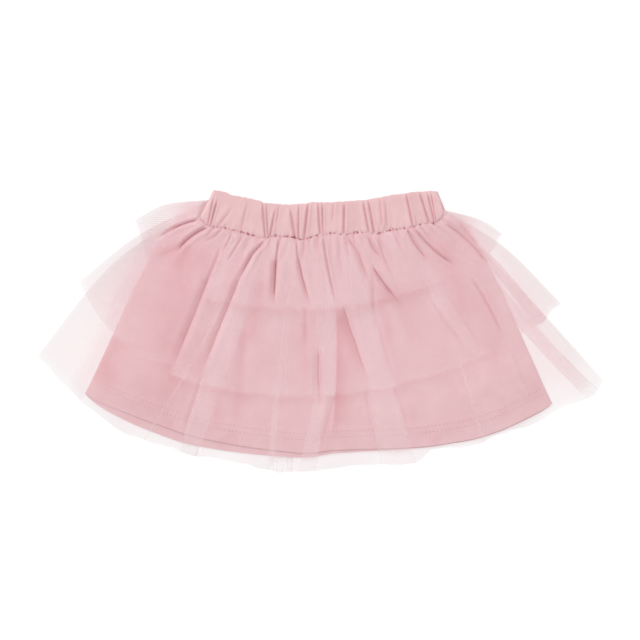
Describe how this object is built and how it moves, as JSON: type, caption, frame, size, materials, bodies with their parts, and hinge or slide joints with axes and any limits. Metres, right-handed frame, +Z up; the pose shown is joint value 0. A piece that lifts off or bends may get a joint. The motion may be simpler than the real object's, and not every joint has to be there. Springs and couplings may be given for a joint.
{
  "type": "tulle skirt",
  "caption": "Child's tulle skirt laid flat: elasticated gathered waistband, opaque jersey lining and sheer stepped tulle tiers that flare past the lining at the sides and hem.",
  "frame": {"origin": "middle of the footprint, on the surface that the skirt lies on", "axes": "+X to the right across the skirt as seen from above, +Y from the hem to the waist, +Z up from the surface, out of the front of the skirt"},
  "size_m": [0.472, 0.2326, 0.0164],
  "materials": {
    "waistband": "matt pink casing cloth, gathered by the elastic inside it",
    "jersey": "matt pink jersey, opaque",
    "tulle": "sheer pink tulle net"
  },
  "bodies": {
    "root": {"tier_1_back": "tulle", "tier_2_back": "tulle", "tier_3_back": "tulle", "lining_back": "jersey", "lining_front": "jersey", "tier_3_front": "tulle", "tier_2_front": "tulle", "tier_1_front": "tulle", "waistband_back": "waistband", "waistband_front": "waistband"}
  },
  "joints": []
}
